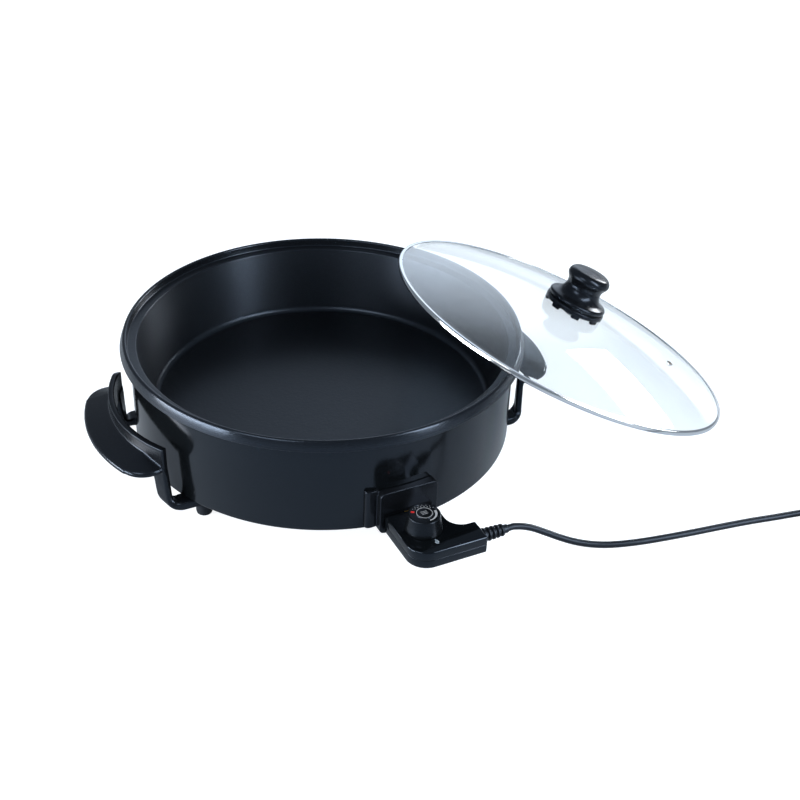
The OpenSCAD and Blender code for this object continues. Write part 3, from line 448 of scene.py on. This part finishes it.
# Feet: turned rubber buttons pressed into the handles' arms, with a rounded tread.
# One is turned, and the other three are copies of it.
rubber, tree, shader = new_material("moulded_rubber", "#131416", 0.6, 0.3, COOL)
place = add_node(tree, "TexCoord")
dust = add_node(tree, "TexNoise", {"Scale": 500, "Detail": 3}, Vector=place.outputs["Object"])
rough = add_node(tree, "MapRange", {"To Min": 0.5, "To Max": 0.75}, Value=dust.outputs["Fac"])
tree.links.new(rough.outputs["Result"], shader.inputs["Roughness"])
dress(rubber, "cord_tie")
FOOT_X, FOOT_Y = 158, 77
foot_section = [(0, 0)] + arc(6, 1.6, 1.6, -90, -10, 4) + [(8, 4), (8, 14), (0, 14)]
first_foot = turned("rubber_foot_front_left", foot_section, 48)
corners = (("front_right", 1, -1), ("rear_left", -1, 1), ("rear_right", 1, 1), ("front_left", -1, -1))
for name, x, y in corners:
    foot = first_foot
    if name != "front_left":
        foot = bpy.data.objects.new("rubber_foot_" + name, first_foot.data.copy())
        scene.collection.objects.link(foot)
    put(foot, at(x * FOOT_X, y * FOOT_Y, 0))
    fit(foot, "pan", "rubber", rubber, "foot_" + name)


# Thermostat housing: two gloss ABS shells screwed together from below, with an arm for the cord to the right.
# The upper shell has a softened top edge that catches the light, and a bore for the dial's spindle.
def shell(name, outline, low, high, top_round, low_round):
    """A flat shell of an outline in mm, pulled up from low to high, with its top and lower edges rounded."""
    mesh = bpy.data.meshes.new(name)
    mesh.from_pydata([(x * MM, y * MM, low * MM) for x, y in outline], [], [tuple(range(len(outline)))])
    piece = bpy.data.objects.new(name, mesh)
    scene.collection.objects.link(piece)
    pick(piece)
    bpy.ops.object.mode_set(mode="EDIT")
    bpy.ops.mesh.select_all(action="SELECT")
    bpy.ops.mesh.extrude_region_move(TRANSFORM_OT_translate={"value": (0, 0, (high - low) * MM)})
    bpy.ops.mesh.select_all(action="SELECT")
    bpy.ops.mesh.normals_make_consistent(inside=False)
    for level, width in ((high, top_round), (low, low_round)):
        bpy.ops.mesh.select_mode(type="FACE")
        bpy.ops.mesh.select_all(action="DESELECT")
        bpy.ops.object.mode_set(mode="OBJECT")
        for face in mesh.polygons:
            face.select = abs(face.center.z - level * MM) < 0.00001 and abs(face.normal.z) > 0.9
        bpy.ops.object.mode_set(mode="EDIT")
        bpy.ops.mesh.region_to_loop()
        bpy.ops.mesh.bevel(offset=width * MM, segments=5, affect="EDGES", clamp_overlap=True)
    bpy.ops.object.mode_set(mode="OBJECT")
    bpy.ops.object.shade_smooth_by_angle(angle=radians(40))
    return piece


BODY_HALF, BODY_BACK, BODY_FRONT, ARM_END, ARM_WIDE = 25, -202, -265, 48, 25
DIAL_Y, DIAL_FOOT, HOUSING_TOP, HOUSING_LOW = -230, 42.35, 42, 24
FRONT_ROUND, ARM_ROUND, ELBOW_ROUND, SEAM, SPINDLE_BORE_R = 20, 1.5, 16, 0.1, 3.35
housing = [(-BODY_HALF, BODY_BACK)]
housing += arc(FRONT_ROUND - BODY_HALF, BODY_FRONT + FRONT_ROUND, FRONT_ROUND, 180, 270, 16)
housing += arc(ARM_END - ARM_ROUND, BODY_FRONT + ARM_ROUND, ARM_ROUND, -90, 0, 4)
housing += arc(ARM_END - ARM_ROUND, BODY_FRONT + ARM_WIDE - ARM_ROUND, ARM_ROUND, 0, 90, 4)
housing += arc(BODY_HALF + ELBOW_ROUND, BODY_FRONT + ARM_WIDE + ELBOW_ROUND, ELBOW_ROUND, 270, 180, 14)
housing.append((BODY_HALF, BODY_BACK))
upper = shell("housing_top_shell", housing, TERMINAL_Z + SEAM, HOUSING_TOP, top_round=2.8, low_round=0.3)
bpy.ops.mesh.primitive_cylinder_add(vertices=48, radius=SPINDLE_BORE_R * MM, depth=CUT_DEEP * MM,
                                    location=(0, DIAL_Y * MM, (HOUSING_TOP - 4) * MM))
cut_out(upper, bpy.context.object)
lower = shell("housing_lower_shell", housing, HOUSING_LOW, TERMINAL_Z - SEAM, top_round=0.3, low_round=1.2)

# Gloss ABS: injection moulded, nearly a mirror, with the slow ripple of a moulding about 15 mm across.
abs_gloss, tree, shader = new_material("gloss_abs", "#06080A", 0.07, 0.31, COOL)
place = add_node(tree, "TexCoord")
ripple = add_node(tree, "TexNoise", {"Scale": 65, "Detail": 1}, Vector=place.outputs["Object"])
bump = add_node(tree, "Bump", {"Strength": 0.05, "Distance": 0.0005}, Height=ripple.outputs["Fac"])
tree.links.new(bump.outputs["Normal"], shader.inputs["Normal"])
fit(upper, "control", "gloss_plastic", abs_gloss, "housing_upper")
fit(lower, "control", "gloss_plastic", abs_gloss, "housing_lower")
dress(phenolic, "control_nose")

# Pilot lamp: a drop-shaped lens of opal acrylic, grey while unlit, pressed into the top shell before the dial.
# Fine ribs under it, about 1 mm apart, scatter the lamp's light.
LAMP_X, LAMP_Y, LAMP_R, LAMP_TIP = 2, -253.2, 1.9, 4.7
lamp_outline = [(x + LAMP_X, y + LAMP_Y) for x, y in [(0, LAMP_TIP)] + arc(0, 0, LAMP_R, 160, 380, 16)]
lamp = shell("pilot_lamp", lamp_outline, HOUSING_TOP, HOUSING_TOP + 0.8, top_round=0.35, low_round=0.05)
acrylic, tree, shader = new_material("opal_acrylic", "#7E8C98", 0.15)
place = add_node(tree, "TexCoord")
ribs = add_node(tree, "TexWave", {"Scale": 260}, Vector=place.outputs["Object"])
bump = add_node(tree, "Bump", {"Strength": 0.3, "Distance": 0.0002}, Height=ribs.outputs["Fac"])
tree.links.new(bump.outputs["Normal"], shader.inputs["Normal"])
shader.inputs["Transmission Weight"].default_value = 0.35
fit(lamp, "control", "lens", acrylic, "pilot_lens")

# Dial: a smooth ABS drum that flares to its foot, pressed on the spindle, with a raised disc on its face.
# Its scale is printed in grey: a ring, a tapering wedge, numbers and ticks, with a red mark for off.
FACE, DISC = 16.2, 17.1
drum_section = [(0, 13), (3.05, 13), (3.05, 0)] + arc(17.4, 0.4, 0.4, -90, 0, 3)
drum_section += [(17.7, 2), (17.2, 4), (16.4, 7), (15.7, 10.5), (15.2, 14)]
drum_section += arc(14, 15.3, 1.2, 0, 90, 6) + [(13.1, 16.5), (12.9, FACE), (8.4, FACE)]
drum_section += arc(7.5, DISC - 0.5, 0.5, 0, 90, 4) + [(0, DISC)]
drum = turned("dial_drum", drum_section, 96)
put(drum, at(0, DIAL_Y, DIAL_FOOT))

# Satin ABS: the same plastic from a finely etched mould, with a grain of 0.3 mm drawn about 1.5 mm across.
abs_satin, tree, shader = new_material("satin_abs", "#07090B", 0.26, 0.23, COOL)
place = add_node(tree, "TexCoord")
etch = add_node(tree, "TexNoise", {"Scale": 650, "Detail": 2}, Vector=place.outputs["Object"])
bump = add_node(tree, "Bump", {"Strength": 0.06, "Distance": 0.0002}, Height=etch.outputs["Fac"])
tree.links.new(bump.outputs["Normal"], shader.inputs["Normal"])
fit(drum, "dial", "gloss_plastic", abs_satin, "dial")


INK_T = 0.06


def printed(name, points, faces, height):
    """A thin printed mark on the dial's face, from points in mm about the dial's axis."""
    mesh = bpy.data.meshes.new(name)
    mesh.from_pydata([(x * MM, (y + DIAL_Y) * MM, (DIAL_FOOT + height) * MM) for x, y in points], [], faces)
    mark = bpy.data.objects.new(name, mesh)
    scene.collection.objects.link(mark)
    pick(mark)
    bpy.ops.object.mode_set(mode="EDIT")
    bpy.ops.mesh.select_all(action="SELECT")
    bpy.ops.mesh.extrude_region_move(TRANSFORM_OT_translate={"value": (0, 0, INK_T * MM)})
    bpy.ops.mesh.select_all(action="SELECT")
    bpy.ops.mesh.normals_make_consistent(inside=False)
    bpy.ops.object.mode_set(mode="OBJECT")
    return mark


def band(inner, outer, start, end, steps):
    """Points and faces of a curved band whose inner and outer radius run from one value to another."""
    rim = []
    for i in range(steps + 1):
        t = i / steps
        a = radians(start + (end - start) * t)
        for r0, r1 in (inner, outer):
            rim.append(((r0 + (r1 - r0) * t) * cos(a), (r0 + (r1 - r0) * t) * sin(a)))
    return rim, [(2 * i, 2 * i + 1, 2 * i + 3, 2 * i + 2) for i in range(steps)]


# Screen ink: a thin matt film, pale grey, a little uneven over about 1 mm.
ink, tree, shader = new_material("grey_screen_ink", "#8E9398", 0.55)
place = add_node(tree, "TexCoord")
film = add_node(tree, "TexNoise", {"Scale": 1000, "Detail": 2}, Vector=place.outputs["Object"])
tone = add_node(tree, "ValToRGB", Fac=film.outputs["Fac"])
tone.color_ramp.elements[0].color = linear("#7C8186")
tone.color_ramp.elements[1].color = linear("#A2A6AA")
tree.links.new(tone.outputs["Color"], shader.inputs["Base Color"])
TICK_FROM, TICK_STEP, NUMBER_R, NUMBER_HIGH = 125, 17, 10.3, 2.3
marks = [printed("dial_ring", *band((7, 7), (7.5, 7.5), 0, 360, 72), DISC),
         printed("dial_wedge", *band((9.7, 10.2), (12.2, 11), 2, -88, 30), FACE)]
for i in range(7):
    turn = TICK_FROM - TICK_STEP * i
    marks.append(printed("dial_tick_%d" % i, *band((11.8, 11.8), (12.6, 12.6), turn - 1, turn + 1, 2), FACE))
for i in range(6):
    turn = radians(TICK_FROM - TICK_STEP * (i + 0.5))
    bpy.ops.object.text_add(location=(0, 0, 0))
    number = bpy.context.object
    number.data.body = str(i + 1)
    number.data.size = NUMBER_HIGH * MM
    number.data.align_x = "CENTER"
    number.data.align_y = "CENTER"
    number.data.extrude = INK_T / 2 * MM
    pick(number)
    bpy.ops.object.convert(target="MESH")
    number = bpy.context.object
    number.name = "dial_number_%d" % (i + 1)
    number_at = at(NUMBER_R * cos(turn), DIAL_Y + NUMBER_R * sin(turn), DIAL_FOOT + FACE + 0.04)
    put(number, number_at @ Matrix.Rotation(turn - pi / 2, 4, "Z"))
    marks.append(number)
for i in range(3):
    low = 1.8 - 1.8 * i
    marks.append(printed("dial_line_%d" % i, [(-3, low), (3, low), (3, low + 0.45), (-3, low + 0.45)],
                         [(0, 1, 2, 3)], DISC))
pick(marks[0])
for mark in marks:
    mark.select_set(True)
bpy.ops.object.join()
scale_print = bpy.context.object
scale_print.name = "dial_scale"
fit(scale_print, "dial", "dial_face", ink, "dial_face")

# Red screen ink: the same film in red, over the off mark.
red_ink, tree, shader = new_material("red_screen_ink", "#B81F1C", 0.5)
place = add_node(tree, "TexCoord")
film = add_node(tree, "TexNoise", {"Scale": 1000, "Detail": 2}, Vector=place.outputs["Object"])
rough = add_node(tree, "MapRange", {"To Min": 0.42, "To Max": 0.6}, Value=film.outputs["Fac"])
tree.links.new(rough.outputs["Result"], shader.inputs["Roughness"])
off_mark = printed("dial_off_mark", *band((9.2, 9.2), (12.4, 12.4), 139, 151, 6), FACE)
fit(off_mark, "dial", "dial_face", red_ink)

# Lid: a shallow dome of tempered glass, leaning with its edge on the worktop and its band against the rim.
# All its pieces are built level, with the band's lower edge at height 0, and then leaned together.
LID_R, LID_TILT, LID_TURN = 192.5, radians(23.6), radians(-7)
BAND_IN, BAND_H, GLASS_T, DOME_H, REST_IN = LID_R - 5, 6.5, 4, 32.5, 1.5
lid_z = LID_R * sin(LID_TILT) + CLEAR
lean = (RIM_TOP + CLEAR - lid_z) / (BAND_IN * sin(LID_TILT))
lid_d = sqrt((RIM_R - REST_IN) ** 2 - BAND_IN ** 2 * (1 - lean ** 2)) + BAND_IN * cos(LID_TILT) * lean
leaning = Matrix.Rotation(LID_TURN, 4, "Z") @ at(lid_d, 0, lid_z) @ Matrix.Rotation(LID_TILT, 4, "Y")
DOME_X, DOME_Z = BAND_IN + 0.5, BAND_H - 1.1
DOME_R = (DOME_X ** 2 + (DOME_H - DOME_Z) ** 2) / (2 * (DOME_H - DOME_Z))


def dome(x, under=0):
    """Height of the glass at a distance from the lid's axis, on its top or that far under it."""
    return DOME_H - DOME_R + sqrt((DOME_R - under) ** 2 - x ** 2)


EDGE, EDGE_ROUND, SCREW_BORE, RINGS = LID_R - 1.1, 0.8, 3.2, 40
across = [SCREW_BORE + (DOME_X - SCREW_BORE) * i / RINGS for i in range(RINGS + 1)]
glass_section = [(x, dome(x)) for x in across]
glass_section += arc(EDGE - EDGE_ROUND, DOME_Z - EDGE_ROUND, EDGE_ROUND, 90, 0, 3)
glass_section += arc(EDGE - EDGE_ROUND, DOME_Z - GLASS_T + EDGE_ROUND, EDGE_ROUND, 0, -90, 3)
glass_section += [(x, dome(x, GLASS_T)) for x in reversed(across)]
glass_lid = turned("glass_dome", glass_section, 256)
VENT_X, VENT_TURN, VENT_HOLE_R = 124, radians(-24), 2.5
vent_at = Matrix.Rotation(VENT_TURN, 4, "Z") @ at(VENT_X, 0, dome(VENT_X, GLASS_T / 2)) \
    @ Matrix.Rotation(asin(VENT_X / DOME_R), 4, "Y")
bpy.ops.mesh.primitive_cylinder_add(vertices=32, radius=VENT_HOLE_R * MM, depth=4 * GLASS_T * MM)
vent_hole = bpy.context.object
vent_hole.matrix_world = vent_at
cut_out(glass_lid, vent_hole)
put(glass_lid, leaning)

# Tempered soda-lime glass: clear, with a faint cool tint that shows where it is seen edge on.
glass, tree, shader = new_material("tempered_glass", "#EFF5F8", 0.0)
shader.inputs["Transmission Weight"].default_value = 1
shader.inputs["IOR"].default_value = 1.5
place = add_node(tree, "TexCoord")
waves = add_node(tree, "TexNoise", {"Scale": 14, "Detail": 1}, Vector=place.outputs["Object"])
bump = add_node(tree, "Bump", {"Strength": 0.02, "Distance": 0.0005}, Height=waves.outputs["Fac"])
tree.links.new(bump.outputs["Normal"], shader.inputs["Normal"])
fit(glass_lid, "lid", "glass", glass, "lid_glass")

# Lid band: a strip of stainless steel rolled round the glass's edge, with a bright buffed outside.
# Its two lips are turned in over the glass, which is held in it without cement.
BAND_LOW, BAND_TOP, LIP_IN, BAND_T, BAND_ROUND = 0.9, 5.95, LID_R - 3.4, 0.5, 1.3
round_x, round_low, round_top = LID_R - BAND_ROUND, BAND_LOW + BAND_ROUND, BAND_TOP - BAND_ROUND
band_section = [(LIP_IN, BAND_LOW)] + arc(round_x, round_low, BAND_ROUND, -90, 0, 6)
band_section += arc(round_x, round_top, BAND_ROUND, 0, 90, 6)
band_section += [(LIP_IN, BAND_TOP), (LIP_IN, BAND_TOP - BAND_T)]
band_section += arc(round_x, round_top, BAND_ROUND - BAND_T, 90, 0, 4)
band_section += arc(round_x, round_low, BAND_ROUND - BAND_T, 0, -90, 4) + [(LIP_IN, BAND_LOW + BAND_T)]
steel_band = turned("stainless_band", band_section, 256)
put(steel_band, leaning)

# Buffed stainless steel: bright and sharp, dulled by fine buffing in patches about 2 mm across.
stainless, tree, shader = new_material("buffed_stainless_steel", "#CDD1D4", 0.08)
shader.inputs["Metallic"].default_value = 1
place = add_node(tree, "TexCoord")
buffing = add_node(tree, "TexNoise", {"Scale": 420, "Detail": 3}, Vector=place.outputs["Object"])
rough = add_node(tree, "MapRange", {"To Min": 0.05, "To Max": 0.12}, Value=buffing.outputs["Fac"])
tree.links.new(rough.outputs["Result"], shader.inputs["Roughness"])
fit(steel_band, "lid", "band", stainless, "lid_band")

# Vent: a pressed eyelet of darkened steel that lines the steam hole through the glass.
# It is flared over the glass on top and runs just through it below.
vent_section = [(1.6, -2.8), (2.3, -2.8), (2.3, 2.2), (3.6, 2.2), (3.8, 2.6), (3.5, 2.9), (2.2, 2.9)]
vent_section.append((1.6, 2.5))
eyelet = turned("vent_ring", vent_section, 40)
put(eyelet, leaning @ vent_at)
fit(eyelet, "lid", "band", scale_steel, "vent_eyelet")
dress(stainless, "knob_washer")

# Knob collar: a phenolic heat ring under the knob, which stands clear of the glass on eight broad feet.
# One foot is shaped, and the other seven are copies of it set round the ring.
COLLAR_R, COLLAR_Z, COLLAR_T, COLLAR_FEET = 33, 35.1, 5, 8
FOOT_SPAN, FOOT_IN, FOOT_DEEP, FOOT_SINK, FOOT_EDGE = 17, 2.2, 3.6, 0.5, 0.5
KNOB_Z = COLLAR_Z + COLLAR_T
collar_section = [(SCREW_BORE, COLLAR_Z)] + arc(COLLAR_R - 0.8, COLLAR_Z + 0.8, 0.8, -90, 0, 4)
collar_section += arc(COLLAR_R - 1.2, KNOB_Z - 1.2, 1.2, 0, 90, 4) + [(SCREW_BORE, KNOB_Z)]
collar = turned("knob_heat_ring", collar_section, 96)
foot_low, foot_top = dome(COLLAR_R) + 0.15, COLLAR_Z + FOOT_SINK
foot_wide = 2 * (COLLAR_R - FOOT_IN) * sin(radians(FOOT_SPAN / 2))
bpy.ops.mesh.primitive_cube_add(size=1, scale=(FOOT_DEEP * MM, foot_wide * MM, (foot_top - foot_low) * MM))
ring_foot = bpy.context.object
pick(ring_foot)
bpy.ops.object.transform_apply(location=True, rotation=True, scale=True)
edge = ring_foot.modifiers.new("edge", "BEVEL")
edge.width = FOOT_EDGE * MM
edge.segments = 3
bpy.ops.object.modifier_apply(modifier=edge.name)
bpy.ops.object.shade_smooth_by_angle(angle=radians(40))
put(ring_foot, at(COLLAR_R - FOOT_IN, 0, (foot_top + foot_low) / 2))
ring_feet = [ring_foot]
for i in range(1, COLLAR_FEET):
    ring_feet.append(bpy.data.objects.new("ring_foot_%d" % i, ring_foot.data.copy()))
    scene.collection.objects.link(ring_feet[i])
for i, ring_foot in enumerate(ring_feet):
    put(ring_foot, Matrix.Rotation(radians((i + 0.25) * 360 / COLLAR_FEET + FOOT_SPAN / 2), 4, "Z"))
pick(collar)
for ring_foot in ring_feet:
    ring_foot.select_set(True)
bpy.ops.object.join()
put(collar, leaning)
fit(collar, "lid", "handle_plastic", phenolic, "knob_collar")

# Lid knob: a waisted phenolic grip with a slightly domed top.
# It is drawn down on the collar by a screw from under the glass.
knob_bore_and_skirt = [(0, 15), (3.05, 15), (3.05, 0.1), (31.3, 0.1)] + arc(29.2, 3.5, 3, -30, 75, 10)
knob_waist = arc(31.5, 18.5, 12, 245, 140, 20)
knob_crown = arc(16.5, 30, 7, -12, 70, 14) + arc(0, -92, 130, 82, 90, 8)
knob_section = knob_bore_and_skirt + knob_waist + knob_crown
knob = turned("waisted_knob", [(x, z + KNOB_Z) for x, z in knob_section], 128, 50)
put(knob, leaning)
fit(knob, "lid", "handle_plastic", phenolic, "lid_knob")

# Floor: a plain pale table that runs out of sight. Seen straight, through glass and a little in gloss,
# it glows, so that it is the photograph's white in the open and keeps a faint shadow under the object.
TABLE_SIZE_M, TABLE_Z_M, GLOW, GLOW_IN_GLOSS = 12, -0.0005, 0.86, 0.12
bpy.ops.mesh.primitive_plane_add(size=TABLE_SIZE_M, location=(0, 0, TABLE_Z_M))
table = bpy.context.object
table.name = "table"
table_top, tree, shader = new_material("pale_table", "#9DA7B1", 0.7)
path = add_node(tree, "LightPath")
straight = add_node(tree, "Math", {"operation": "MAXIMUM"})
tree.links.new(path.outputs["Is Camera Ray"], straight.inputs[0])
tree.links.new(path.outputs["Is Transmission Ray"], straight.inputs[1])
in_gloss = add_node(tree, "MapRange", {"To Max": GLOW_IN_GLOSS}, Value=path.outputs["Is Glossy Ray"])
seen = add_node(tree, "Math", {"operation": "MAXIMUM"})
tree.links.new(straight.outputs["Value"], seen.inputs[0])
tree.links.new(in_gloss.outputs["Result"], seen.inputs[1])
glow = add_node(tree, "Emission", {"Strength": GLOW})
lit = add_node(tree, "AddShader")
tree.links.new(shader.outputs["BSDF"], lit.inputs[0])
tree.links.new(glow.outputs["Emission"], lit.inputs[1])
as_seen = add_node(tree, "MixShader", Fac=seen.outputs["Value"])
tree.links.new(shader.outputs["BSDF"], as_seen.inputs[1])
tree.links.new(lit.outputs["Shader"], as_seen.inputs[2])
tree.links.new(as_seen.outputs["Shader"], tree.nodes["Material Output"].inputs["Surface"])
table.data.materials.append(table_top)

# Studio: a cool pale room, plain white where the camera sees it straight. In gloss it has one soft bright
# sweep, behind the lid, which shows on the pan's floor and in the glass. A tall lamp panel stands in front,
# one hangs high on the left, and a long low one on the left and a small one on the right draw bright edges.
SWEEP_TOWARDS, SWEEP_FROM, SWEEP_LEVEL = (0.53, 0.8, 0.27), 0.89, 1.9
ROOM_LEVEL, ROOM_IN_GLOSS = 0.36, 0.34
world = bpy.data.worlds.new("studio")
scene.world = world
world.use_nodes = True
room = world.node_tree
backdrop = room.nodes["Background"]
backdrop.inputs["Color"].default_value = linear("#E2EFFF")
around = add_node(room, "TexCoord")
towards = add_node(room, "VectorMath", {"operation": "DOT_PRODUCT"})
towards.inputs[1].default_value = SWEEP_TOWARDS
room.links.new(around.outputs["Generated"], towards.inputs[0])
sweep = add_node(room, "MapRange", {"interpolation_type": "SMOOTHSTEP", "From Min": SWEEP_FROM,
                                    "To Min": ROOM_IN_GLOSS, "To Max": SWEEP_LEVEL},
                 Value=towards.outputs["Value"])
path = add_node(room, "LightPath")
in_gloss = add_node(room, "MapRange", {"To Min": ROOM_LEVEL}, Value=path.outputs["Is Glossy Ray"],
                    To_Max=sweep.outputs["Result"])
straight = add_node(room, "Math", {"operation": "MAXIMUM"})
room.links.new(path.outputs["Is Camera Ray"], straight.inputs[0])
room.links.new(path.outputs["Is Transmission Ray"], straight.inputs[1])
level = add_node(room, "Math", {"operation": "MAXIMUM"})
room.links.new(straight.outputs["Value"], level.inputs[0])
room.links.new(in_gloss.outputs["Result"], level.inputs[1])
room.links.new(level.outputs["Value"], backdrop.inputs["Strength"])
plain_white = add_node(room, "Background", {"Color": (1, 1, 1, 1)})
shown = add_node(room, "MixShader", Fac=path.outputs["Is Camera Ray"])
room.links.new(backdrop.outputs["Background"], shown.inputs[1])
room.links.new(plain_white.outputs["Background"], shown.inputs[2])
room.links.new(shown.outputs["Shader"], room.nodes["World Output"].inputs["Surface"])


def lamp_panel(name, place_m, aim_m, size, power):
    """A rectangular lamp panel at a place, turned to face a point; sizes in metres, power in watts."""
    bpy.ops.object.light_add(type="AREA", location=place_m)
    panel = bpy.context.object
    panel.name = name
    panel.rotation_euler = (Vector(aim_m) - Vector(place_m)).to_track_quat("-Z", "Y").to_euler()
    panel.data.shape = "RECTANGLE"
    panel.data.size, panel.data.size_y = size
    panel.data.energy = power


lamp_panel("key_panel", (0.7, -1.2, 0.8), (0, -0.1, 0.1), (0.35, 1.2), 27)
lamp_panel("high_left_panel", (-0.95, -0.6, 1.25), (0, 0, 0.1), (0.7, 0.45), 11)
lamp_panel("low_left_panel", (-1.4, 0.05, 0.22), (0, 0, 0.1), (1.1, 0.3), 40)
lamp_panel("right_panel", (1.5, 0.45, 0.5), (0, 0, 0.1), (0.5, 0.3), 12)
